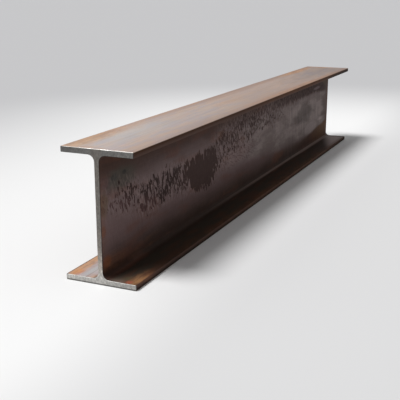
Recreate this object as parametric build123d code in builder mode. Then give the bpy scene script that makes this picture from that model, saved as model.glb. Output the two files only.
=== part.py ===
from build123d import *
import os

# A short length of rolled steel H-beam, resting on its bottom flange with the web upright.
# The origin is the centre of the underside. X runs along the beam, Y across the flanges, Z up.
# All sizes are in millimetres.

# The rolled section
section_depth = 180.0  # outer face of one flange to outer face of the other
flange_width = 105.0  # toe to toe
flange_thickness = 8.0
web_thickness = 7.0
root_radius = 9.0  # hollow where a flange runs into the web
toe_radius = 0.8  # slight rounding that the rolls leave on the corners of the toes

# The cut length
cut_length = 1100.0
cut_edge_break = 0.5  # bevel ground round each sawn end

# The channel on each side of the web, from the web's face out to the toes
channel_height = section_depth - 2 * flange_thickness
channel_reach = (flange_width - web_thickness) / 2
channel_centre = (web_thickness + channel_reach) / 2

os.makedirs("parts", exist_ok=True)

with BuildPart() as h_beam:
    # The section is one rectangle with both side channels taken out of it.
    with BuildSketch(Plane.YZ) as section:
        with Locations((0, section_depth / 2)):
            Rectangle(flange_width, section_depth)
        with Locations((-channel_centre, section_depth / 2), (channel_centre, section_depth / 2)):
            Rectangle(channel_reach, channel_height, mode=Mode.SUBTRACT)

        # Across the section the corners stand in four columns: toes, web, web, toes.
        columns = section.vertices().group_by(Axis.X)
        fillet(columns[1] + columns[2], root_radius)
        columns = section.vertices().group_by(Axis.X)
        fillet(columns[0] + columns[-1], toe_radius)
    extrude(amount=cut_length / 2, both=True)

    # The saw's burr is ground off all the way round both ends.
    sawn_ends = h_beam.faces().filter_by(Axis.X)
    chamfer(sawn_ends.edges(), cut_edge_break)

h_beam.part.label = "h_beam"
export_step(h_beam.part, "parts/h_beam.step")
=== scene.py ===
import math

import bmesh
import bpy
import numpy as np
from bpy.props import FloatProperty, FloatVectorProperty, IntProperty, PointerProperty
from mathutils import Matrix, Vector, noise
from mathutils.geometry import delaunay_2d_cdt


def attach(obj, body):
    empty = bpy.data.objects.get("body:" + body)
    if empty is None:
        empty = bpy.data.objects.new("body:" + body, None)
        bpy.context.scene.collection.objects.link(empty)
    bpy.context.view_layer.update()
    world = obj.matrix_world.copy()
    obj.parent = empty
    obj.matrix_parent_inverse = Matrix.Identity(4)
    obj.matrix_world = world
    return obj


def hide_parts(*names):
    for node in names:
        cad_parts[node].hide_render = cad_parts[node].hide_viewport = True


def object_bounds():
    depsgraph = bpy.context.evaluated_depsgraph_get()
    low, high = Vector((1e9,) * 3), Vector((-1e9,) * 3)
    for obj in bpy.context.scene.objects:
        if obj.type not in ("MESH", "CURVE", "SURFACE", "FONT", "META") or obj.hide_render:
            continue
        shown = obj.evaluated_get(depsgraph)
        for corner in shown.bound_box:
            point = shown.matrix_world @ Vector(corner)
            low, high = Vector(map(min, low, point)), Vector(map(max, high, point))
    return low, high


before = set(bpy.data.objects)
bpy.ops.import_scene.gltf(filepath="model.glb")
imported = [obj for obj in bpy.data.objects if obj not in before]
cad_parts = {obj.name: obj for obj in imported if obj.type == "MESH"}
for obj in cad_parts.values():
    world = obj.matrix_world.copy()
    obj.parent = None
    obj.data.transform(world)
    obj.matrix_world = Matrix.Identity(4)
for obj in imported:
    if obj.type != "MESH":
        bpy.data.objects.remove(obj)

bl_info = {
    "name": "Rolled steel H-beam",
    "version": (1, 0, 0),
    "blender": (4, 5, 0),
    "location": "3D View > Sidebar > H-beam",
    "description": "A cut length of rolled H-beam with mill scale, thin rust and sawn ends",
    "category": "Object",
}

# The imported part's box. X runs along the beam, Y across the flanges and Z up.
CAD_LOW, CAD_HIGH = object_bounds()
CAD_SIZE = CAD_HIGH - CAD_LOW
MM = 0.001


# Properties that a user may change


def a_length(name, description, default):
    return FloatProperty(name=name, description=description, default=default, unit="LENGTH")


def a_colour(name, description, default):
    return FloatVectorProperty(
        name=name, description=description, default=default, subtype="COLOR")


def an_angle(name, description, degrees):
    return FloatProperty(name=name, description=description, default=math.radians(degrees),
                         subtype="ANGLE")


class BeamSizes(bpy.types.PropertyGroup):
    """Real sizes of the rolled section, its cut and its fine relief."""

    length: a_length("Length", "Cut length", CAD_SIZE.x)
    depth: a_length("Depth", "Section depth, outside both flanges", CAD_SIZE.z)
    width: a_length("Width", "Flange width, toe to toe", CAD_SIZE.y)
    flange: a_length("Flange", "Flange thickness", 8 * MM)
    web: a_length("Web", "Web thickness", 7 * MM)
    root: a_length("Root radius", "Hollow between a flange and the web", 9 * MM)
    toe: a_length("Toe radius", "Rounding of the corners of the toes", 0.8 * MM)
    edge_break: a_length("Edge break", "Bevel ground round each sawn end", 0.5 * MM)
    relief: a_length("Relief", "Depth of the rolled surface's flakes and pits", 0.22 * MM)
    kerf: a_length("Kerf", "Depth of the saw's marks on the ends", 0.07 * MM)
    rings: IntProperty(
        name="Rings", description="Cross-sections along the beam", default=380, min=20)


class BeamFinish(bpy.types.PropertyGroup):
    """Colours of the scale, rust and bare steel."""

    web_scale: a_colour("Web scale", "Scale at the middle of the web", (0.163, 0.107, 0.104))
    # Deep and high scale serve also as painted shade: low in the channels, on the toes and under
    # the top flange.
    deep_scale_and_shade: a_colour("Deep scale", "Dark scale low in the channels", (0.038, 0.023, 0.018))
    high_scale_and_shade: a_colour("High scale", "Brown scale under the top flange", (0.062, 0.034, 0.026))
    flange_scale: a_colour("Flange scale", "Handled scale on the outer faces", (0.41, 0.325, 0.285))
    # Lilac serves also as a painted sheen along the outer faces and as painted light on the bottom
    # flange's left.
    lilac_scale_and_sheen: a_colour("Lilac scale", "Cool tint in the handled scale", (0.345, 0.3, 0.302))
    tan_scale: a_colour("Tan scale", "Warm brown in the handled scale", (0.27, 0.17, 0.13))
    flake: a_colour("Flakes", "Old scale that still holds to the web", (0.048, 0.027, 0.023))
    rust: a_colour("Rust", "Fresh rust", (0.57, 0.29, 0.12))
    old_rust: a_colour("Old rust", "Dark, settled rust", (0.14, 0.05, 0.028))
    steel: a_colour("Sawn steel", "Bare steel of the sawn ends", (0.303, 0.295, 0.279))


class StageSetup(bpy.types.PropertyGroup):
    """Floor, light and camera."""

    floor: a_colour("Floor", "Floor on the lit side of the beam", (0.88, 0.88, 0.88))
    dim_floor: a_colour("Dim floor", "Floor on the shaded side of the beam", (0.69, 0.69, 0.695))
    far_floor: a_colour("Far floor", "Floor far from the beam", (0.52, 0.52, 0.53))
    sun: FloatProperty(
        name="Key light", description="Strength of the soft key light", default=2.84)
    sun_spread: an_angle("Key spread", "Angle that the key light fills", 20)
    fill: FloatProperty(
        name="Fill light", description="Strength of the even light from all round", default=0.3)
    camera: FloatVectorProperty(
        name="Camera place", description="Where the camera stands", subtype="TRANSLATION",
        default=(-1.3335, -0.4917, 0.3713))
    heading: an_angle("Heading", "Camera's turn from +X towards +Y", 24.105)
    tilt: an_angle("Tilt", "Camera's tilt below level", 15.649)
    lens: FloatProperty(
        name="Lens", description="Focal length in millimetres on a 36 mm frame", default=68.07)


# Short ways to add and join nodes


class Net:
    """Adds nodes to one tree. A value may be a number, a tuple or another node's output."""

    def __init__(self, tree):
        self.tree = tree

    def put(self, kind, **settings):
        node = self.tree.nodes.new(kind)
        for name, value in settings.items():
            setattr(node, name, value)
        return node

    def feed(self, socket, value):
        """Joins an output to a socket, or sets the socket's own value."""
        if isinstance(value, bpy.types.NodeSocket):
            self.tree.links.new(value, socket)
        else:
            socket.default_value = rgba(value) if socket.type == "RGBA" else value

    def wire(self, node, values):
        """Feeds a node's inputs, which the keys name or number."""
        for key, value in values.items():
            self.feed(node.inputs[key], value)

    def run(self, kind, values=None, out=0, **settings):
        """Adds a node, feeds its inputs and gives one output."""
        node = self.put(kind, **settings)
        self.wire(node, values or {})
        return node.outputs[out]

    def math(self, operation, *values, clamp=False):
        return self.run("ShaderNodeMath", dict(enumerate(values)),
                        operation=operation, use_clamp=clamp)

    def fold(self, operation, values):
        """One operation over all the values, from the first to the last."""
        total = values[0]
        for value in values[1:]:
            total = self.math(operation, total, value)
        return total

    def add(self, *values):
        return self.fold("ADD", values)

    def times(self, *values):
        return self.fold("MULTIPLY", values)

    def max(self, *values):
        return self.fold("MAXIMUM", values)

    def minus(self, first, second):
        return self.math("SUBTRACT", first, second)

    def abs(self, value):
        return self.math("ABSOLUTE", value)

    def scaled(self, value, factor, base):
        """The value times a factor, added to a base."""
        return self.math("MULTIPLY_ADD", value, factor, base)

    def swing(self, noise, amount, base=0):
        """A base that the noise swings either way, by half the amount at most."""
        return self.scaled(self.minus(noise, 0.5), amount, base)

    def vector(self, operation, *values):
        out = "Value" if operation == "LENGTH" else "Vector"
        return self.run("ShaderNodeVectorMath", dict(enumerate(values)), out,
                        operation=operation)

    def away(self, place, centre, reach):
        """Distance from a centre, where the reach = (x, y, z) counts as 1."""
        offset = self.vector("SUBTRACT", place, centre)
        return self.vector("LENGTH", self.vector("DIVIDE", offset, reach))

    def split(self, vector):
        node = self.put("ShaderNodeSeparateXYZ")
        self.wire(node, {0: vector})
        return node.outputs[:]

    def join(self, x, y, z):
        return self.run("ShaderNodeCombineXYZ", {0: x, 1: y, 2: z})

    def smooth(self, value, low, high, to_low=0, to_high=1):
        """Eases from to_low to to_high as the value goes from low to high."""
        return self.run("ShaderNodeMapRange",
                        {0: value, 1: low, 2: high, 3: to_low, 4: to_high},
                        interpolation_type="SMOOTHSTEP")

    def fade(self, value, low, high):
        """Eases from 1 to 0 as the value goes from low to high."""
        return self.smooth(value, low, high, 1, 0)

    def noise(self, vector, grain, seed=0, detail=2, rough=0.5, warp=0):
        """Noise whose lumps are about grain = (x, y, z) in size, in the vector's own unit."""
        place = self.vector("DIVIDE", vector, grain)
        place = self.vector("ADD", place, (seed, seed * 1.7, seed * 0.6))
        return self.run("ShaderNodeTexNoise",
                        {"Vector": place, "Scale": 1, "Detail": detail,
                         "Roughness": rough, "Distortion": warp})

    def mix(self, factor, first, second, blend="MIX"):
        """Colour that goes from the first to the second as the factor goes from 0 to 1."""
        return self.run("ShaderNodeMix", {0: factor, 6: first, 7: second}, 2,
                        data_type="RGBA", blend_type=blend)

    def paint(self, colour, *coats):
        """Lays coats = (cover, colour) over a colour, one after another."""
        for cover, coat in coats:
            colour = self.mix(cover, colour, coat)
        return colour

    def shade(self, colour, light):
        """The colour times one number."""
        return self.mix(1, colour, self.join(light, light, light), blend="MULTIPLY")

    def blend(self, factor, first, second):
        """Number that goes from the first to the second as the factor goes from 0 to 1."""
        return self.run("ShaderNodeMix", {0: factor, 2: first, 3: second}, 0,
                        data_type="FLOAT")

    def curve(self, value, points, top):
        """Smooth curve through points (value, result) from first to last, up to top."""
        low, high = points[0][0], points[-1][0]
        unit = self.run("ShaderNodeMapRange", {0: value, 1: low, 2: high})
        node = self.put("ShaderNodeFloatCurve")
        self.feed(node.inputs["Value"], unit)
        knots = node.mapping.curves[0].points
        while len(knots) < len(points):
            knots.new(0.5, 0.5)
        for knot, (at, result) in zip(knots, points):
            knot.location = ((at - low) / (high - low), result / top)
        node.mapping.update()
        return self.times(node.outputs[0], top)

    def ramp(self, value, stops, span):
        """Colour that runs through stops (value, colour) over span = (low, high)."""
        low, high = span
        unit = self.run("ShaderNodeMapRange", {0: value, 1: low, 2: high})
        node = self.put("ShaderNodeValToRGB")
        self.feed(node.inputs[0], unit)
        node.color_ramp.interpolation = "B_SPLINE"
        marks = node.color_ramp.elements
        places = [(at - low) / (high - low) for at, _ in stops]
        marks[0].position, marks[1].position = places[0], places[-1]
        for spot in places[1:-1]:
            marks.new(spot)
        for mark, (_, colour) in zip(marks, stops):
            mark.color = rgba(colour)
        return node.outputs[0]


def rgba(colour):
    return (*colour, 1)


def dimmed(colour, factor):
    return [factor * channel for channel in colour]


# Patterns on the steel. Places are in millimetres.


def web_zone(net, across):
    """1 on the web's faces, easing to 0 through the root radii."""
    return net.fade(net.abs(across), 5, 9)


LEFT_SHIFT = 170  # the web's left side carries its pattern this much further along


def along_web(net, x, side):
    """Distance along the web, the same way round on both of its sides."""
    along = net.times(x, side, -1)
    return net.scaled(net.max(side, 0), -LEFT_SHIFT, along)


def flake_band(net, place):
    """Where the flakes lie on the web: their band, the distance along, and the flattened place."""
    x, y, z = net.split(place)
    side = net.math("SIGN", y)
    along = along_web(net, x, side)
    height = net.curve(along, [
        (-550, 112), (-500, 107), (-460, 98), (-430, 89), (-400, 88), (-350, 92),
        (-300, 88), (-220, 86), (-170, 100), (-130, 109), (-60, 117), (60, 124), (550, 124),
    ], 180)
    reach = net.curve(along, [
        (-550, 42), (-220, 42), (-150, 60), (-60, 54), (60, 42), (550, 42)], 70)
    amount = net.curve(along, [
        (-550, 0.55), (-500, 0.78), (-460, 0.87), (-430, 0.93), (-350, 1.02), (-310, 1.12),
        (-250, 1.08), (-160, 0.98), (-100, 0.98), (-60, 0.92), (60, 0.9), (150, 0.7),
        (260, 0.4), (550, 0.2),
    ], 1.2)
    off = net.abs(net.minus(z, height))
    band = net.times(net.fade(off, 14, reach), amount)
    leaning = net.scaled(z, 0.2, along)
    return band, along, net.join(leaning, net.times(side, 40), z)


def feathered_flakes(net, place):
    """Where old scale still holds to the web, in tall feathered flakes."""
    band, along, flat = flake_band(net, place)
    _, y, z = net.split(place)
    large = net.noise(flat, (6.4, 30, 15), 3.1, detail=4, rough=0.62, warp=0.8)
    small = net.noise(flat, (4.2, 30, 9), 3.1, detail=3, rough=0.6, warp=0.6)
    flakes = net.blend(net.smooth(along, -190, -110), large, small)
    flecks = net.noise(flat, (3.4, 30, 8), 6.4, detail=2)
    groups = net.noise(flat, (44, 30, 26), 8.7, detail=1.5)
    # One ragged patch, wide at its top, has kept nearly all its scale.
    reach = net.smooth(z, 48, 100, 38, 51)
    off_middle = [
        net.math("DIVIDE", net.minus(net.split(flat)[0], -215), reach),
        net.math("DIVIDE", net.minus(z, 81.5), 28),
    ]
    from_patch = [net.math("POWER", net.abs(off), 3) for off in off_middle]
    ragged = net.noise(flat, (5.5, 30, 26), 15, detail=2, rough=0.6)
    teeth = net.smooth(z, 88, 112, 6, 9)
    from_patch.append(net.swing(ragged, teeth))
    solid = net.fade(net.add(*from_patch), -0.3, 2.5)
    level = net.add(flakes, net.swing(flecks, 0.4), net.swing(groups, 0.2),
                    net.times(net.minus(band, 1), 0.3), net.times(solid, 0.37))
    return net.times(net.smooth(level, 0.475, 0.505), web_zone(net, y))


# Rust that shows in known places: centre, reach and strength.
RUST_BLOOMS = (
    ((-490, 44, 180), (130, 24, 14), 0.62),
    ((-250, 50, 180), (230, 9, 14), 0.25),
    ((-548, 20, 180), (18, 34, 14), 0.4),
    ((420, 42, 180), (150, 18, 14), 0.6),
    ((160, -48, 180), (420, 13, 14), 0.3),
    ((-530, -4, 24), (60, 9, 12), 0.25),
    ((-552, -4, 90), (20, 9, 80), 0.35),
    ((-520, -46, 8), (40, 15, 8), 0.55),
    ((-515, 47, 8), (110, 15, 8), 0.95),
    ((-548, 12, 8), (16, 12, 8), 0.6),
    ((60, -49, 8), (620, 11, 8), 0.33),
    ((260, 48, 8), (240, 12, 8), 0.8),
    ((546, -4, 95), (16, 9, 75), 0.35),
    ((-120, 5, 22), (180, 9, 18), 0.6),
    ((548, 10, 180), (30, 50, 14), 0.5),
    ((-200, 20, 0), (260, 40, 10), 0.5),
)


def build_rust(net, place):
    """Cover of the rust, in the known places and in thin clouds everywhere, and how fresh it is."""
    warp = net.noise(place, (9, 5, 5), 21, detail=4, rough=0.65)
    blooms = []
    for centre, reach, strength in RUST_BLOOMS:
        away = net.swing(warp, 1.1, net.away(place, centre, reach))
        blooms.append(net.smooth(away, 0.25, 1.1, strength, 0))
    clouds = net.noise(place, (150, 26, 40), 5.5, detail=5, rough=0.6)
    fresh = net.noise(place, (30, 8, 8), 12, detail=4, rough=0.65)
    return (net.max(*blooms, net.smooth(clouds, 0.58, 0.78, 0, 0.35)),
            net.smooth(fresh, 0.36, 0.66))


def use_group(net, place, name, build, *outputs):
    """Adds a group that takes a place in millimetres, and builds it on its first use."""
    tree = bpy.data.node_groups.get(name)
    if tree is None:
        tree = bpy.data.node_groups.new(name, "ShaderNodeTree")
        tree.interface.new_socket("Place", in_out="INPUT", socket_type="NodeSocketVector")
        for title in outputs:
            tree.interface.new_socket(title, in_out="OUTPUT", socket_type="NodeSocketFloat")
        inner = Net(tree)
        inward = inner.put("NodeGroupInput")
        outward = inner.put("NodeGroupOutput")
        inner.wire(outward, dict(enumerate(build(inner, inward.outputs["Place"]))))
    node = net.put("ShaderNodeGroup", node_tree=tree)
    net.wire(node, {"Place": place})
    return node.outputs[:]


def build_flakes(net, place):
    """The feathered flakes, as a group's only output."""
    return [feathered_flakes(net, place)]


def build_grain(net, place):
    """Fine lines that the rolls draw along the beam, and small specks."""
    lines = net.noise(place, (110, 0.9, 0.9), 2, detail=3, rough=0.7)
    bands = net.noise(place, (240, 5, 5), 6, detail=2)
    specks = net.noise(place, (2.2, 1.6, 1.6), 9, detail=3, rough=0.7)
    return lines, bands, specks


def rolling_grain(net, place):
    """Lines, bands and specks, from the group that both finishes use."""
    return use_group(net, place, "rolling grain", build_grain, "Lines", "Bands", "Specks")


def from_end(net, x, sizes):
    """Distance in from the nearer sawn end."""
    return net.minus(sizes.length / MM / 2, net.abs(x))


# Tints that stay the same whatever the finish
LILAC_TINT = (0.35, 0.31, 0.325)
OCHRE_TINT = (0.47, 0.34, 0.235)
ROSE_TINT = (0.43, 0.295, 0.26)
UPPER_WEB = (0.196, 0.142, 0.139)
UNDER_HEAD_SHADE = (0.088, 0.056, 0.05)
WARMED_FACE = (0.375, 0.255, 0.195)
YELLOWED_FACE = (0.42, 0.35, 0.265)
PINK_BLOTCH = (0.46, 0.3, 0.27)
GREEN_BLOTCH = (0.36, 0.33, 0.275)
BAND_BROWN = (0.036, 0.015, 0.011)
GREYED_LOW = (0.163, 0.127, 0.118)
GREYED_HIGH = (0.268, 0.22, 0.208)
BARED_AND_SHEEN = (0.27, 0.2, 0.19)
WINE_FLAKE = (0.068, 0.034, 0.033)
TOE_BROWN = (0.055, 0.022, 0.01)
TOE_GREY = (0.088, 0.05, 0.039)
WEDGE_BROWN = (0.06, 0.026, 0.016)
WEDGE_OLIVE = (0.1, 0.042, 0.012)
HOLLOW_HIGHLIGHT = (0.155, 0.108, 0.092)
COOL_SCALE = (0.39, 0.382, 0.378)
WEB_WARMTH = (1, 0.93, 0.88)
SHADED_FOOT = (0.1, 0.07, 0.05)
SHADED_TAN = (0.112, 0.06, 0.036)
# Painted light past the web's far end.
FAR_FOOT_LIGHT = (0.42, 0.34, 0.325)
FOOT_OLIVE = (0.042, 0.033, 0.025)
FOOT_RED = (0.062, 0.034, 0.023)
LIT_FOOT = (0.22, 0.155, 0.125)
RUBBED_EDGE_HIGHLIGHT = (0.72, 0.7, 0.66)
CONTACT_SHADE_AND_TARNISH = (0.06, 0.058, 0.052)
SHADED_BEVEL = (0.07, 0.06, 0.055)
FOOT_BEVEL = (0.09, 0.085, 0.075)
TOP_BEVEL_HIGHLIGHT = (0.7, 0.68, 0.65)

# Stains on the bottom flange's upper face, close to one end: middle, reach and colour.
FOOT_STAINS = (
    ((-538, 42), (15, 8, 6), (0.72, 0.3, 0.17)),
    ((-525, 25), (26, 7, 6), (0.5, 0.5, 0.5)),
    ((-544, -39), (7, 5, 6), (0.34, 0.09, 0.06)),
    ((-530, -30), (12, 5, 6), (0.1, 0.1, 0.05)),
)


def new_material(name, **constants):
    """A material with its Principled shader, and the object's own place in millimetres."""
    material = bpy.data.materials.new(name)
    material.use_nodes = True
    net = Net(material.node_tree)
    shader = material.node_tree.nodes["Principled BSDF"]
    for socket, value in constants.items():
        shader.inputs[socket.replace("_", " ")].default_value = value
    where = net.put("ShaderNodeTexCoord").outputs["Object"]
    place = net.vector("DIVIDE", where, (MM, MM, MM))
    return material, net, shader, place


def bumped(net, height, strength=1):
    """The normal of a surface with this height in millimetres."""
    return net.run("ShaderNodeBump", {"Strength": strength, "Distance": MM, "Height": height})


def outer_face_colour(net, place, finish, bands):
    """Handled scale: lilac along the middle, partly a painted sheen, tan towards the toes, darker
    towards +X.

    Long patches of other tints lie over it.
    """
    x, y, _ = net.split(place)
    clouds = net.noise(place, (170, 24, 42), 31, detail=4, rough=0.55)
    streaks = net.noise(place, (200, 2.6, 2.6), 37, detail=4, rough=0.65)
    wander = net.swing(bands, 30)
    middle = net.abs(net.add(y, 4, wander))
    zones = net.curve(x, [(-550, 1), (-300, 0.95), (-60, 0.35), (130, 0.45), (300, 1),
                         (550, 1)], 1.1)
    # Painted sheen, partly: the lilac band along the middle.
    lilac = net.times(net.fade(middle, 6, 38), zones, net.smooth(clouds, 0.35, 0.6, 0.4, 1))
    colour = net.mix(lilac, finish.flange_scale, finish.lilac_scale_and_sheen)
    patches = net.noise(place, (62, 12, 12), 43, detail=3, rough=0.6)
    tints = net.ramp(patches, [
        (0.3, LILAC_TINT), (0.43, finish.lilac_scale_and_sheen), (0.5, finish.flange_scale),
        (0.58, OCHRE_TINT), (0.7, ROSE_TINT),
    ], (0.3, 0.7))
    colour = net.mix(0.55, colour, tints)
    blotches = net.noise(place, (24, 7, 7), 47, detail=3, rough=0.6)
    pink = net.smooth(blotches, 0.56, 0.7, 0, 0.35)
    green = net.smooth(blotches, 0.3, 0.43, 0.3, 0)
    beside = net.abs(net.minus(y, 12))
    cooled = net.times(net.smooth(x, -530, -460, 0.2, 0.55), net.fade(x, -420, -270),
                       net.fade(beside, 10, 30))
    yellowed = net.times(net.smooth(x, -500, -420, 0.55, 0), net.smooth(y, 20, 38))
    warmed = net.times(net.smooth(x, -190, -40, 0, 0.5), net.fade(x, 240, 380))
    edge = net.add(net.abs(y), wander)
    browned = net.times(net.smooth(edge, 20, 52), net.smooth(x, -450, 150, 0.45, 0.9))
    browned = net.max(browned, net.smooth(streaks, 0.5, 0.72, 0, 0.42),
                      net.smooth(x, 50, 520, 0, 0.4))
    colour = net.paint(colour, (pink, PINK_BLOTCH), (green, GREEN_BLOTCH), (cooled, COOL_SCALE),
                       (yellowed, YELLOWED_FACE), (warmed, WARMED_FACE),
                       (browned, finish.tan_scale))
    light = net.curve(x, [(-550, 1.3), (-350, 1.14), (-150, 1.05), (250, 0.95), (400, 0.81),
                         (490, 0.79), (550, 0.78)], 2)
    light = net.times(light, net.scaled(y, 0.0019, 0.965))
    dulled = net.times(lilac, net.smooth(x, -250, 100, 0, -0.12))
    paler = net.times(net.smooth(y, -46, -28, 0.12, 0), net.smooth(x, -260, -60))
    mottle = net.noise(place, (42, 10, 10), 89, detail=3, rough=0.6)
    mottled = net.swing(mottle, net.smooth(x, 0, 250, 0.08, 0.5))
    for change in (dulled, paler, mottled):
        light = net.scaled(light, change, light)
    return net.shade(colour, light)


# The next five functions each give a coat of the channels: how far it covers, and its colour.


def far_grey_and_sheen(net, along, z, uneven, on_web):
    """Beyond the patch of old scale the web turns grey: partly grey scale, partly a painted sheen.
    """
    raised = net.minus(z, net.smooth(along, -40, 260, 20, 0))
    far = net.times(net.smooth(along, -210, 80), net.smooth(raised, 28, 50),
                    net.fade(z, 118, 140), on_web, 0.85)
    return far, net.mix(net.smooth(uneven, 0.38, 0.62), GREYED_LOW, GREYED_HIGH)


def ragged_band(net, along, z, flat):
    """Brown band with a ragged edge, high on the far half of the web: partly brown scale, partly
    painted shade under the top flange.
    """
    jags = net.noise(flat, (8, 30, 24), 71, detail=3)
    jagged = net.swing(jags, net.smooth(along, 220, 400, 30, 12), z)
    foot = net.smooth(along, 430, 495, 128, 121.5)
    return net.times(net.smooth(along, 40, 240),
                     net.smooth(jagged, foot, net.add(foot, 8.5)), 0.95), BAND_BROWN


def slanting_dashes(net, along, z, on_web):
    """Thin dashes of old scale that run down the web beside the patch."""
    slanted = net.join(along, 0, net.scaled(along, 0.3, z))
    dashes = net.smooth(net.noise(slanted, (11, 30, 3.2), 83), 0.5, 0.6)
    return net.times(dashes, net.smooth(along, -180, -130), net.fade(along, -20, 60),
                     net.smooth(z, 56, 70), net.fade(z, 100, 116), on_web, 0.5), WINE_FLAKE


def far_wedge(net, along, across, z, uneven):
    """Brown wedge that rises along the foot of the web towards the far end."""
    over = net.minus(net.swing(uneven, 14, z), net.smooth(along, 290, 560, 31, 51))
    browns = net.paint(WEDGE_BROWN, (net.smooth(along, 380, 500), WEDGE_OLIVE),
                       (net.smooth(z, 12, 28, 0.4, 0), BAND_BROWN))
    return net.times(net.fade(over, -5, 2), net.smooth(along, 240, 430, 0, 0.92),
                     net.fade(across, 8, 12)), browns


def hollow_highlight(net, x, across, z):
    """Painted highlight: a pale line along the hollow at the foot of the web."""
    start = net.smooth(x, 220, 360, 7.4, 9)
    stop = net.smooth(x, 220, 360, 9.6, 12.5)
    return net.times(net.smooth(across, 4.8, 5.8), net.fade(across, start, stop),
                     net.fade(z, 12.5, 14), net.smooth(x, -320, 200, 0.05, 1)), HOLLOW_HIGHLIGHT


# Soft stains on the web: middle and reach along and up it, colour and strength. The pale streak at
# (500, 61) is a painted highlight and the dark patch at (552, 95) is painted shade.
WEB_STAINS = (
    ((-495, 131), (54, 19), (0.068, 0.064, 0.052), 0.75),
    ((-514, 136), (12, 6), (0.037, 0.036, 0.032), 0.65),
    ((-487, 138), (6, 4), (0.024, 0.024, 0.021), 0.8),
    ((-541, 104), (14, 22), (0.1, 0.068, 0.035), 0.6),
    ((-537, 133), (14, 10), (0.115, 0.06, 0.056), 0.6),
    ((-544, 71), (6, 9), (0.19, 0.08, 0.05), 0.6),
    ((-538, 29), (13, 11), (0.2, 0.06, 0.018), 0.5),
    ((-90, 84), (95, 27), (0.28, 0.198, 0.192), 0.42),
    ((345, 92), (85, 26), (0.084, 0.068, 0.062), 0.55),
    ((405, 51), (60, 17), (0.31, 0.255, 0.245), 0.7),
    # Painted highlight: a pale streak low on the far web.
    ((500, 61), (42, 5), (0.4, 0.33, 0.31), 0.6),
    ((-525, 12), (70, 10), (0.02, 0.01, 0.007), 0.6),
    ((446, 140), (34, 4), (0.19, 0.14, 0.145), 0.7),
    # Painted shade over the web's open far end.
    ((552, 95), (66, 90), (0.088, 0.061, 0.052), 0.75),
    ((522, 152), (36, 14), (0.088, 0.06, 0.034), 0.6),
    ((557, 95), (17, 130), (0.03, 0.017, 0.013), 0.85),
)


def channel_colour(net, place, finish):
    """Dark scale between the flanges, with painted shade: darker low by the foot and under the top
    flange, where shade falls. Brown at the top, greyer far along.
    """
    x, y, z = net.split(place)
    across = net.abs(y)
    on_web = web_zone(net, y)
    band, along, flat = flake_band(net, place)
    uneven = net.noise(place, (70, 30, 26), 17, detail=4, rough=0.6)
    # Painted shade, partly: the ramp darkens the web low by the foot and high under the top flange.
    colour = net.ramp(net.swing(uneven, 26, z), [
        (8, finish.deep_scale_and_shade), (26, dimmed(finish.deep_scale_and_shade, 1.6)),
        (50, dimmed(finish.web_scale, 0.84)), (80, finish.web_scale), (114, UPPER_WEB),
        (136, UNDER_HEAD_SHADE), (150, dimmed(finish.high_scale_and_shade, 1.15)), (172, finish.high_scale_and_shade),
    ], (0, 180))
    reddish = net.smooth(net.noise(place, (90, 20, 22), 44, detail=3), 0.5, 0.72)
    coats = [(net.times(reddish, 0.35), finish.old_rust), far_grey_and_sheen(net, along, z, uneven, on_web),
             ragged_band(net, along, z, flat)]
    unrolled = net.join(along, 0, z)
    for (stain_x, stain_z), (reach_x, reach_z), stain, strength in WEB_STAINS:
        away = net.away(unrolled, (stain_x, 0, stain_z), (reach_x, 1, reach_z))
        away = net.swing(uneven, 1.2, away)
        coats.append((net.times(net.smooth(away, 0.5, 1.1, strength, 0), on_web), stain))
    coats += [slanting_dashes(net, along, z, on_web), far_wedge(net, along, across, z, uneven),
              hollow_highlight(net, x, across, z)]

    # Among the flakes lie light strokes: partly bared steel, partly a painted sheen.
    flecks = net.smooth(net.noise(flat, (2.8, 30, 9), 52, detail=3), 0.42, 0.6)
    bared_and_sheen = net.times(band, flecks, on_web, net.smooth(along, -540, -430, 0.25, 0.6))
    strokes = net.noise(flat, (3.4, 30, 19), 61, detail=4, rough=0.7)
    runs = net.noise(flat, (7, 30, 55), 67, detail=3, rough=0.6)
    light = net.swing(strokes, net.times(on_web, net.scaled(band, 1.1, 0.35)), 1)
    light = net.swing(runs, net.times(on_web, net.smooth(along, 60, 260, 0, 0.8)), light)
    return net.shade(net.paint(colour, *coats, (bared_and_sheen, BARED_AND_SHEEN)), light)


def toe_scale(net, place, finish):
    """Brown and grey scale of the toes, with painted shade: darker low on the bottom toes by the
    floor, towards +X, and on the top toes' lower edge far along. Gives the cover and the colour.
    """
    x, y, z = net.split(place)
    left_corner = net.times(net.smooth(y, 50.3, 51), net.smooth(z, 7.4, 7.9), net.fade(z, 8.1, 9))
    shade_under_head = net.times(net.smooth(x, 330, 420, 0, 0.9), net.smooth(z, 100, 170),
                           net.fade(z, 174.5, 177))
    # Painted shade: dark by the floor, towards +X, and under the head far along.
    colour = net.paint(
        TOE_BROWN, (net.fade(z, 173, 179), TOE_GREY),
        (net.fade(z, 1, 7), dimmed(finish.deep_scale_and_shade, 0.35)),
        (net.smooth(x, 340, 480, 0, 0.45), finish.deep_scale_and_shade),
        (shade_under_head, dimmed(finish.deep_scale_and_shade, 0.3)))
    return net.max(net.smooth(net.abs(y), 51.2, 52), left_corner), colour


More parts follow.
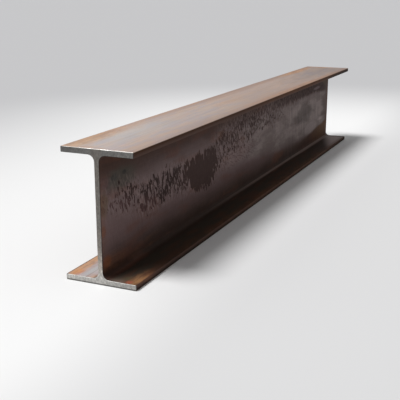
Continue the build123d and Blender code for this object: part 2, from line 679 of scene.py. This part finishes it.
def painted_light_foot(net, place, sizes, finish, bands):
    """Painted light and shade on the bottom flange's upper face: pale lit copies of the scale on
    its left, and shaded and lit copies near one end on its right, with stains over them.

    Gives the cover and the colour.
    """
    x, y, _ = net.split(place)
    across = net.abs(y)
    left = net.smooth(y, 5, 15)
    near_right = net.times(net.fade(y, -15, -5), net.fade(net.minus(x, across), -590, -545))
    at_cut = net.times(net.smooth(x, -549, -530, 0.85, 0), net.fade(across, 26, 36))
    lit = net.mix(net.smooth(bands, 0.5, 0.85), dimmed(finish.lilac_scale_and_sheen, 1.5), finish.tan_scale)
    # Painted light and shade: lit copies on the left, shaded copies on the right near the end, lit
    # by the cut.
    colour = net.paint(SHADED_FOOT, (net.smooth(across, 20, 36), SHADED_TAN),
                       (at_cut, LIT_FOOT), (left, lit))
    for (stain_x, stain_y), reach, stain in FOOT_STAINS:
        away = net.away(place, (stain_x, stain_y, sizes.flange / MM), reach)
        away = net.swing(bands, 1.5, away)
        colour = net.mix(net.smooth(away, 0.4, 1.1, 0.75, 0), colour, stain)
    return net.add(left, near_right), colour


def flake_colour(net, place, finish):
    """Old scale: darker, and redder low on the web, towards the end at -X."""
    x, _, z = net.split(place)
    lowered = net.add(z, net.smooth(x, -500, -450, -22, 0))
    reddened = net.times(net.fade(x, -410, -380), net.fade(lowered, 80, 96))
    darkened = net.smooth(x, -350, -290, 0.7, 0)
    return net.paint(finish.flake, (darkened, dimmed(finish.flake, 0.4)), (reddened, WINE_FLAKE))


def skin_material(sizes, finish):
    """Rolled skin: scale, flakes, rust and the lines of the rolls."""
    material, net, shader, place = new_material(
        "rolled_skin", Specular_IOR_Level=0.04, Coat_Roughness=0.34)
    x, y, z = net.split(place)
    across = net.abs(y)
    flakes, = use_group(net, place, "feathered flakes", build_flakes, "Flakes")
    cover, fresh = use_group(net, place, "rust blooms", build_rust, "Cover", "Fresh")
    lines, bands, specks = rolling_grain(net, place)

    # Toes and channels keep their dark scale, with painted shade. The bottom flange's upper face
    # carries painted light and shade.
    toes, toe_colour = toe_scale(net, place, finish)
    on_foot = net.times(net.fade(z, 8.2, 9.5), net.minus(1, toes))
    dark = net.times(on_foot, net.smooth(across, 12, 17), net.smooth(x, 240, 400, 0.9, 0.3))
    tint = net.smooth(net.noise(place, (60, 14, 14), 91, detail=3), 0.45, 0.62)
    # Cover and colour of the painted light and shade on the bottom flange's upper face.
    worn, foot_light_colour = painted_light_foot(net, place, sizes, finish, bands)
    foot = net.times(worn, on_foot)
    # Painted light: a pale diagonal patch at the bottom flange's far end, where light falls past
    # the end of the web.
    far_foot_light = net.times(net.smooth(net.scaled(across, 2.8, x), 505, 590, 0, 0.9),
                         net.smooth(across, 42, 49, 1, 0.6), on_foot)
    far_rim = net.times(net.smooth(x, 535, 543, 0, 0.75), on_foot)
    colour = net.paint(
        channel_colour(net, place, finish), (toes, toe_colour),
        (dark, net.mix(tint, FOOT_OLIVE, FOOT_RED)), (net.times(foot, 0.9), foot_light_colour),
        (far_foot_light, FAR_FOOT_LIGHT), (far_rim, dimmed(finish.deep_scale_and_shade, 0.6)))

    # Outer faces are handled and pale. Flakes and rust lie over every face.
    outer = net.fade(net.math("MINIMUM", z, net.minus(sizes.depth / MM, z)), 0.45, 0.9)
    lit = net.max(outer, foot)
    # Painted light and shade on the rust: fresh and bright on the lit faces, mostly dark and old
    # elsewhere.
    fresh = net.blend(lit, net.times(fresh, 0.3), net.smooth(fresh, 0, 0.8, 0.5, 1))
    rusted = net.times(cover, net.smooth(lines, 0.2, 0.6, 0.65, 1))
    colour = net.paint(
        colour, (outer, outer_face_colour(net, place, finish, bands)),
        (net.times(flakes, 0.9), flake_colour(net, place, finish)),
        (net.times(rusted, 0.8), net.mix(fresh, finish.old_rust, finish.rust)))

    # At the sawn ends the dark skin is darker still. Next to the cut the handled faces are painted
    # bright: partly worn by rubbing, partly a painted highlight that widens the bevel's glint.
    inward = from_end(net, x, sizes)
    scorched = net.times(net.smooth(inward, 0.8, 3.2, 0.75, 0), net.fade(lit, 0.3, 0.6))
    rubbed_highlight = net.times(net.smooth(inward, 0.6, 1.2, 0.35, 0), outer)
    colour = net.paint(colour, (scorched, dimmed(finish.flake, 0.6)), (rubbed_highlight, RUBBED_EDGE_HIGHLIGHT))
    height = net.add(net.times(lines, 0.035), net.times(specks, 0.05), net.times(flakes, 0.06),
                     net.times(rusted, fresh, 0.05))
    net.wire(shader, {
        "Base Color": net.shade(colour, net.swing(specks, 0.3, net.swing(lines, 0.42, 1))),
        "Coat Weight": net.times(outer, net.scaled(rusted, -0.4, 0.45)),
        "Roughness": net.add(
            0.6, net.times(rusted, 0.15), net.times(flakes, 0.06), net.swing(lines, 0.16)),
        "Normal": bumped(net, height, 0.8),
    })
    return material


SAW_ANGLE = math.radians(52)
SAW_PITCH = 1.7  # millimetres from one saw mark to the next


def leaning(net, place, lean):
    """The place, turned about the beam so that Z runs across saw marks with this lean."""
    return net.run("ShaderNodeVectorRotate", {"Vector": place, "Angle": lean},
                   rotation_type="X_AXIS")


def sawn_material(sizes, finish):
    """Sawn end: bare steel with slanting saw marks, a little tarnish and a bright bevel."""
    material, net, shader, place = new_material("sawn_steel", IOR=2.5)
    x, y, z = net.split(place)
    across = net.abs(y)
    _, _, specks = rolling_grain(net, place)
    marks = net.noise(leaning(net, place, -SAW_ANGLE), (300, 40, 0.8), 3, detail=3, rough=0.7)
    cross_marks = net.noise(leaning(net, place, SAW_ANGLE), (300, 22, 0.7), 7, rough=0.6)

    # Painted light and shade: the end is painted lighter low down, where light bounces up from the
    # floor, and darker up the web and the top. Tarnish mottles it, and it darkens towards the top's
    # left and the foot's right.
    tarnish = net.noise(place, (30, 16, 16), 4, detail=4, rough=0.6)
    colour = net.mix(net.smooth(tarnish, 0.4, 0.68), finish.steel, dimmed(finish.steel, 0.78))
    up_the_end = net.curve(z, [
        (0, 1.66), (8, 1.7), (14, 1.84), (22, 1.72), (32, 1.4), (44, 0.94), (60, 0.78),
        (90, 0.65), (130, 0.65), (165, 0.66), (180, 0.59),
    ], 2)
    lean = net.times(net.scaled(z, 0.00124, -0.118), net.math("DIVIDE", y, 40))
    mottle = net.noise(place, (30, 2.4, 3.6), 8, detail=3, rough=0.6)
    colour = net.shade(colour, net.times(up_the_end, net.minus(0.9, lean),
                                         net.smooth(mottle, 0.3, 0.7, 0.78, 1.2)))
    warm = net.times(net.fade(across, 3, 12), net.smooth(z, 9, 24))
    colour = net.mix(warm, colour, WEB_WARMTH, blend="MULTIPLY")

    # The bottom edge is painted dark as contact shade by the floor, and the low toes are tarnished.
    # The ground bevel is painted bright along the top, partly bare steel and partly a painted
    # highlight, and dark on the right and along the foot's upper edge.
    under = net.max(net.smooth(z, 0.8, 2.6, 0.9, 0), net.times(
        net.smooth(across, 51.3, 52.2, 0, 0.5), net.fade(z, 12, 30)))
    bevel = net.smooth(from_end(net, x, sizes), 0.12, 0.3)
    foot_edge = net.times(bevel, net.smooth(z, 7.3, 7.7), net.fade(z, 8.6, 10))
    colour = net.paint(
        colour, (under, CONTACT_SHADE_AND_TARNISH),
        (net.times(bevel, net.smooth(y, -1, 1, 0.7, 0)), SHADED_BEVEL),
        (net.times(foot_edge, 0.95), FOOT_BEVEL),
        (net.times(bevel, net.smooth(z, 178.6, 179.5), 0.85), TOP_BEVEL_HIGHLIGHT))
    light = net.swing(specks, 0.4, net.swing(cross_marks, 0.55, net.swing(marks, 0.9, 1)))
    height = net.add(net.times(marks, 0.05), net.times(cross_marks, 0.03),
                     net.times(specks, 0.015))
    net.wire(shader, {
        "Base Color": net.shade(colour, light),
        "Metallic": net.blend(net.smooth(tarnish, 0.45, 0.75), 0.9, 0.6),
        "Roughness": net.add(
            0.4, net.swing(marks, 0.35), net.times(bevel, -0.08), net.times(foot_edge, 0.35),
            net.times(specks, 0.06)),
        "Normal": bumped(net, height),
    })
    return material


# The rolled beam


def add_object(name, data):
    """Adds an object to the scene, at the origin."""
    item = bpy.data.objects.new(name, data)
    bpy.context.scene.collection.objects.link(item)
    return item


def by_corner(net, index, values):
    """Picks one value for each corner of the section."""
    node = net.put("GeometryNodeIndexSwitch", data_type="FLOAT")
    while len(node.index_switch_items) < len(values):
        node.index_switch_items.new()
    net.wire(node, dict(enumerate((index, *values))))
    return node.outputs[0]


WEB_STEP = 5 * MM
FLANGE_STEP = 3.2 * MM
ROOT_POINTS = 6
TOE_POINTS = 4


def section_outline(net, size):
    """The beam's section as a closed curve with rounded corners."""
    index = net.run("GeometryNodeInputIndex")
    position = net.run("GeometryNodeInputPosition")

    # Twelve corners, from the underside's left corner round to the left of the bottom toe.
    half = net.times(size["Width"], 0.5)
    left = net.times(size["Width"], -0.5)
    core = net.times(size["Web"], 0.5)
    core_left = net.times(size["Web"], -0.5)
    depth, foot = size["Depth"], size["Flange"]
    head = net.minus(depth, foot)
    y = by_corner(net, index, [left, half, half, core, core, half,
                               half, left, left, core_left, core_left, left])
    z = by_corner(net, index, [0, 0, foot, foot, head, head,
                               depth, depth, head, head, foot, foot])
    root, toe = size["Root"], size["Toe"]
    radius = by_corner(net, index, [toe, toe, toe, root, root, toe,
                                    toe, toe, toe, root, root, toe])
    outline = net.run("GeometryNodeCurvePrimitiveCircle", {"Resolution": 12})
    # A sweep along +X lays the outline's own X and Y on -Y and -Z, hence the signs.
    outline = net.run("GeometryNodeSetPosition", {
        "Geometry": outline,
        "Position": net.join(net.times(y, -1), net.times(z, -1), 0)})
    is_root = net.math("GREATER_THAN", radius, net.times(net.add(root, toe), 0.5))
    outline = net.run("GeometryNodeFilletCurve", {
        "Curve": outline, "Radius": radius,
        "Count": net.scaled(is_root, ROOT_POINTS - TOE_POINTS, TOE_POINTS)}, mode="POLY")

    # Long flats get more points. Steps are longer up the web than across a flange.
    onward = net.run("GeometryNodeOffsetPointInCurve", {"Offset": 1}, "Point Index")
    ahead = net.run("GeometryNodeFieldAtIndex", {"Value": position, "Index": onward},
                    data_type="FLOAT_VECTOR", domain="POINT")
    gap = net.vector("LENGTH", net.vector("SUBTRACT", ahead, position))
    off_web = net.abs(net.split(position)[0])
    on_web = net.math("LESS_THAN", off_web, net.times(size["Web"], 0.51))
    step = net.blend(on_web, FLANGE_STEP, WEB_STEP)
    return net.run("GeometryNodeSubdivideCurve", {
        "Curve": outline, "Cuts": net.math("FLOOR", net.math("DIVIDE", gap, step))})


def centre_line(net, size):
    """The line along the beam, with an extra ring at each end for the ground bevel."""
    index = net.run("GeometryNodeInputIndex")
    length, edge, rings = size["Length"], size["Edge Break"], size["Rings"]
    line = net.run("GeometryNodeCurvePrimitiveLine", {"End": net.join(length, 0, 0)})
    line = net.run("GeometryNodeResampleCurve", {"Curve": line, "Count": rings})
    last = net.minus(rings, 1)
    share = net.math("DIVIDE", net.minus(index, 1), net.minus(last, 2), clamp=True)
    x = net.times(net.minus(share, 0.5), net.scaled(edge, -2, length))
    x = net.scaled(net.math("COMPARE", index, last, 0.5), edge, x)
    x = net.minus(x, net.times(net.math("COMPARE", index, 0, 0.5), edge))
    return net.run("GeometryNodeSetPosition", {
        "Geometry": line, "Position": net.join(x, 0, 0)})


def pressed_in(net, size, inward_from_end):
    """How far each point goes into the steel: the skin's relief, or the bevel at the ends."""
    position = net.run("GeometryNodeInputPosition")
    place = net.vector("DIVIDE", position, (MM, MM, MM))
    swell = net.noise(place, (120, 40, 40), 14, detail=2)
    pits = net.smooth(net.noise(place, (9, 6, 6), 27, detail=2), 0.6, 0.72)
    across = net.split(place)[1]
    bare = net.minus(web_zone(net, across), feathered_flakes(net, place))
    worn = net.add(net.smooth(swell, 0.35, 0.7, 0, 0.5), net.times(pits, 0.5),
                   net.times(bare, 0.35))
    edge = size["Edge Break"]
    at_end = net.math("LESS_THAN", inward_from_end, net.times(edge, 0.5))
    uneven = net.noise(place, (20, 11, 11), 33)
    ground = net.times(edge, net.smooth(uneven, 0.3, 0.7, 0.92, 1.06))
    return net.blend(at_end, net.times(worn, size["Relief"]), ground)


def rolling_tree(sizes, skin, sawn):
    """Tree that rolls the section along the cut length. Gives it and its inputs' values."""
    tree = bpy.data.node_groups.new("roll the beam", "GeometryNodeTree")
    tree.interface.new_socket("Geometry", in_out="OUTPUT", socket_type="NodeSocketGeometry")
    values = {}

    def ask(name, value, kind="NodeSocketFloat"):
        socket = tree.interface.new_socket(name, in_out="INPUT", socket_type=kind)
        if kind == "NodeSocketFloat":
            socket.subtype = "DISTANCE"
        values[socket.identifier] = value

    for name in ("length", "depth", "width", "flange", "web", "root", "toe", "edge_break",
                 "relief"):
        ask(name.replace("_", " ").title(), getattr(sizes, name))
    ask("Rings", sizes.rings, "NodeSocketInt")
    ask("Skin", skin, "NodeSocketMaterial")
    ask("Sawn Steel", sawn, "NodeSocketMaterial")

    net = Net(tree)
    size = net.put("NodeGroupInput").outputs
    beam = net.run("GeometryNodeCurveToMesh", {
        "Curve": centre_line(net, size), "Profile Curve": section_outline(net, size)})

    # All relief goes into the steel, so the beam keeps its box.
    x = net.split(net.run("GeometryNodeInputPosition"))[0]
    inward_from_end = net.minus(net.times(size["Length"], 0.5), net.abs(x))
    depth = net.times(pressed_in(net, size, inward_from_end), -1)
    offset = net.run("ShaderNodeVectorMath", {
        0: net.run("GeometryNodeInputNormal"), "Scale": depth}, operation="SCALE")
    beam = net.run("GeometryNodeSetPosition", {"Geometry": beam, "Offset": offset})
    beam = net.run("GeometryNodeSetMaterial", {"Geometry": beam, "Material": size["Skin"]})
    beam = net.run("GeometryNodeRealizeInstances", {"Geometry": beam})
    beam = net.run("GeometryNodeSetMaterial", {
        "Geometry": beam, "Material": size["Sawn Steel"],
        "Selection": net.math("LESS_THAN", inward_from_end, net.times(size["Edge Break"], 0.9))})
    net.feed(net.put("NodeGroupOutput").inputs[0], beam)
    return tree, values


def roll_beam(sizes, skin, sawn):
    """Runs the tree once and gives the open tube as a plain mesh."""
    carrier = add_object("roll_carrier", bpy.data.meshes.new("roll_carrier"))
    tree, values = rolling_tree(sizes, skin, sawn)
    modifier = carrier.modifiers.new("roll", "NODES")
    modifier.node_group = tree
    for identifier, value in values.items():
        modifier[identifier] = value
    depsgraph = bpy.context.evaluated_depsgraph_get()
    mesh = bpy.data.meshes.new_from_object(carrier.evaluated_get(depsgraph),
                                           depsgraph=depsgraph)
    carrier.modifiers.remove(modifier)
    bpy.data.objects.remove(carrier)
    return mesh


# Steps between the points of a sawn face, across and along the saw marks, in millimetres
MARK_STEPS = (0.42, 2.6)
RIM_CLEARANCE = 0.4  # millimetres from these points to the rim, at least
CDT_TOLERANCE = 1e-6
CDT_INSIDE = 1  # the triangulation's mode that keeps what lies inside the outline


def saw_depth(y, z, kerf, seed):
    """How far a point of the sawn face lies under the highest mark."""
    across = z * math.cos(SAW_ANGLE) - y * math.sin(SAW_ANGLE)
    along = y * math.cos(SAW_ANGLE) + z * math.sin(SAW_ANGLE)
    drift = noise.noise(Vector((across / 9, along / 24, seed)))
    wave = 0.5 + 0.5 * math.cos(2 * math.pi * (across + 0.9 * drift) / SAW_PITCH)
    uneven = 0.5 + 0.5 * noise.noise(Vector((across / 0.9, along / 40, seed + 5)))
    return kerf * (0.6 * wave + 0.4 * uneven)


def rim_loop(shape, end):
    """The vertices of the open edge at one end of the tube, in order round it."""
    edges = [e for e in shape.edges if e.is_boundary and e.verts[0].co.x * end > 0]
    rest = {v: [e for e in v.link_edges if e.is_boundary] for e in edges for v in e.verts}
    loop = list(edges[0].verts)
    while True:
        step = next(e for e in rest[loop[-1]] if loop[-2] not in e.verts)
        onward = step.other_vert(loop[-1])
        if onward == loop[0]:
            return loop
        loop.append(onward)


def inside_rim(points, rim):
    """The points that lie inside the rim and clear of it."""
    start, stop = rim, np.roll(rim, -1, axis=0)
    run = stop - start
    offset = points[:, None] - start[None]
    share = np.clip((offset * run).sum(-1) / (run * run).sum(-1), 0, 1)
    gap = np.linalg.norm(offset - share[..., None] * run, axis=-1).min(1)
    above = (start[:, 1] > points[:, 1:]) != (stop[:, 1] > points[:, 1:])
    rise = np.where(run[:, 1] == 0, 1, run[:, 1])
    crossing = start[:, 0] + (points[:, 1:] - start[:, 1]) * run[:, 0] / rise
    within = (above & (points[:, :1] < crossing)).sum(1) % 2 == 1
    return points[within & (gap > RIM_CLEARANCE)]


def close_sawn_end(shape, end, sizes, material_index, seed):
    """Fills one end of the tube with a sawn face that carries the saw's marks."""
    loop = rim_loop(shape, end)
    rim = np.array([(v.co.y / MM, v.co.z / MM) for v in loop])

    # A lattice that lies along the saw marks, kept clear of the rim.
    reach = (sizes.depth + sizes.width) / MM
    s, t = np.meshgrid(np.arange(-reach, reach, MARK_STEPS[0]),
                       np.arange(-reach, reach, MARK_STEPS[1]), indexing="ij")
    t = t + (np.arange(t.shape[0]) % 2)[:, None] * MARK_STEPS[1] / 2
    points = np.stack([t * math.cos(SAW_ANGLE) - s * math.sin(SAW_ANGLE),
                       t * math.sin(SAW_ANGLE) + s * math.cos(SAW_ANGLE)], -1).reshape(-1, 2)
    in_box = np.all((points > rim.min(0)) & (points < rim.max(0)), axis=1)
    points = inside_rim(points[in_box], rim)

    flat = [Vector(point) for point in (*rim.tolist(), *points.tolist())]
    outline = list(range(len(rim)))
    _, _, triangles, origins, _, _ = delaunay_2d_cdt(
        flat, [], [outline], CDT_INSIDE, CDT_TOLERANCE)
    verts = list(loop)
    for y, z in points.tolist():
        x = end * (sizes.length / 2 - saw_depth(y, z, sizes.kerf, seed))
        verts.append(shape.verts.new((x, y * MM, z * MM)))
    for triangle in triangles:
        face = shape.faces.new([verts[origins[i][0]] for i in triangle])
        face.material_index = material_index


# Each sawn end's side along X, and the seed of its saw marks
SAWN_ENDS = ((-1, 10), (1, 11))
SHARP_ANGLE = math.radians(35)
MERGE_DISTANCE = 1e-6


class OBJECT_OT_rolled_beam(bpy.types.Operator):
    """Roll the beam from its sizes and close its ends with sawn faces"""

    bl_idname = "object.rolled_beam"
    bl_label = "Rolled beam"

    def execute(self, context):
        sizes, finish = context.scene.beam_sizes, context.scene.beam_finish
        skin = skin_material(sizes, finish)
        sawn = sawn_material(sizes, finish)
        mesh = roll_beam(sizes, skin, sawn)
        mesh.name = "rolled_beam"
        shape = bmesh.new()
        shape.from_mesh(mesh)
        bmesh.ops.remove_doubles(shape, verts=shape.verts, dist=MERGE_DISTANCE)
        index = list(mesh.materials).index(sawn)
        for end, seed in SAWN_ENDS:
            close_sawn_end(shape, end, sizes, index, seed)
        bmesh.ops.recalc_face_normals(shape, faces=shape.faces)
        if any(not e.is_manifold for e in shape.edges):
            raise RuntimeError("the beam's surface isn't closed")
        shape.to_mesh(mesh)
        shape.free()
        mesh.polygons.foreach_set("use_smooth", [True] * len(mesh.polygons))
        mesh.set_sharp_from_angle(angle=SHARP_ANGLE)
        beam = add_object("rolled_beam", mesh)
        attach(beam, "root")
        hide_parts("h_beam")
        return {"FINISHED"}


# Floor, light and camera

FLOOR_REACH = 60
FLOOR_DROP = 0.2 * MM
KEY_FROM = (-0.42, 0.32, 1)
FRAME_WIDTH = 36  # millimetres


def floor_material(stage):
    """Pale floor that eases to light grey far from the beam, with painted shade: dimmer on the
    beam's shaded side.
    """
    material, net, shader, place = new_material(
        "pale_floor", Roughness=0.9, Specular_IOR_Level=0.1)
    x, y, _ = net.split(place)
    past_end = net.max(net.minus(net.abs(x), 500), 0)
    far = net.smooth(net.vector("LENGTH", net.join(past_end, y, 0)), 200, 1300)
    # Painted shade: the floor is dimmer towards -Y, where the beam's shadow falls.
    near = net.mix(net.smooth(y, -200, 0), stage.dim_floor, stage.floor)
    net.wire(shader, {"Base Color": net.mix(far, near, stage.far_floor)})
    return material


def even_world(stage):
    """Even light all round, which the camera and reflections see as a pale backdrop."""
    world = bpy.data.worlds.new("studio")
    world.use_nodes = True
    net = Net(world.node_tree)
    rays = net.put("ShaderNodeLightPath").outputs
    seen = net.max(rays["Is Camera Ray"], rays["Is Glossy Ray"], rays["Is Transmission Ray"])
    light = net.mix(seen, (stage.fill,) * 3, stage.far_floor)
    net.wire(world.node_tree.nodes["Background"], {"Color": light, "Strength": 1})
    return world


class SCENE_OT_studio_stage(bpy.types.Operator):
    """Lay the floor and set the lights and the camera"""

    bl_idname = "scene.studio_stage"
    bl_label = "Studio stage"

    def execute(self, context):
        scene = context.scene
        stage = scene.stage_setup
        corners = [(x * FLOOR_REACH, y * FLOOR_REACH, -FLOOR_DROP)
                   for x, y in ((-1, -1), (1, -1), (1, 1), (-1, 1))]
        mesh = bpy.data.meshes.new("floor")
        mesh.from_pydata(corners, [], [(0, 1, 2, 3)])
        mesh.materials.append(floor_material(stage))
        floor = add_object("floor", mesh)

        scene.world = even_world(stage)
        lamp = bpy.data.lights.new("key_light", "SUN")
        lamp.energy = stage.sun
        lamp.angle = stage.sun_spread
        key = add_object("key_light", lamp)
        key.rotation_euler = Vector(KEY_FROM).to_track_quat("Z", "Y").to_euler()

        lens = bpy.data.cameras.new("camera")
        lens.lens = stage.lens
        lens.sensor_width = FRAME_WIDTH
        camera = add_object("camera", lens)
        camera.location = stage.camera
        camera.rotation_euler = (math.pi / 2 - stage.tilt, 0, stage.heading - math.pi / 2)
        scene.camera = camera
        scene.view_settings.view_transform = "Standard"
        return {"FINISHED"}


class VIEW3D_PT_rolled_beam(bpy.types.Panel):
    """Lists the beam's sizes, finish, stage and the steps that build them"""

    bl_idname = "VIEW3D_PT_rolled_beam"
    bl_label = "H-beam"
    bl_space_type = "VIEW_3D"
    bl_region_type = "UI"
    bl_category = "H-beam"

    def draw(self, context):
        for name, operator in (("beam_sizes", "object.rolled_beam"),
                               ("beam_finish", None),
                               ("stage_setup", "scene.studio_stage")):
            box = self.layout.box()
            group = getattr(context.scene, name)
            for key in group.bl_rna.properties.keys():
                if key not in ("rna_type", "name"):
                    box.prop(group, key)
            if operator:
                box.operator(operator)


CLASSES = (BeamSizes, BeamFinish, StageSetup, OBJECT_OT_rolled_beam,
           SCENE_OT_studio_stage, VIEW3D_PT_rolled_beam)


def register():
    for cls in CLASSES:
        bpy.utils.register_class(cls)
    bpy.types.Scene.beam_sizes = PointerProperty(type=BeamSizes)
    bpy.types.Scene.beam_finish = PointerProperty(type=BeamFinish)
    bpy.types.Scene.stage_setup = PointerProperty(type=StageSetup)


def unregister():
    del bpy.types.Scene.stage_setup
    del bpy.types.Scene.beam_finish
    del bpy.types.Scene.beam_sizes
    for cls in reversed(CLASSES):
        bpy.utils.unregister_class(cls)


def main():
    """Builds everything."""
    register()
    bpy.ops.object.rolled_beam()
    bpy.ops.scene.studio_stage()


if __name__ == "__main__":
    main()
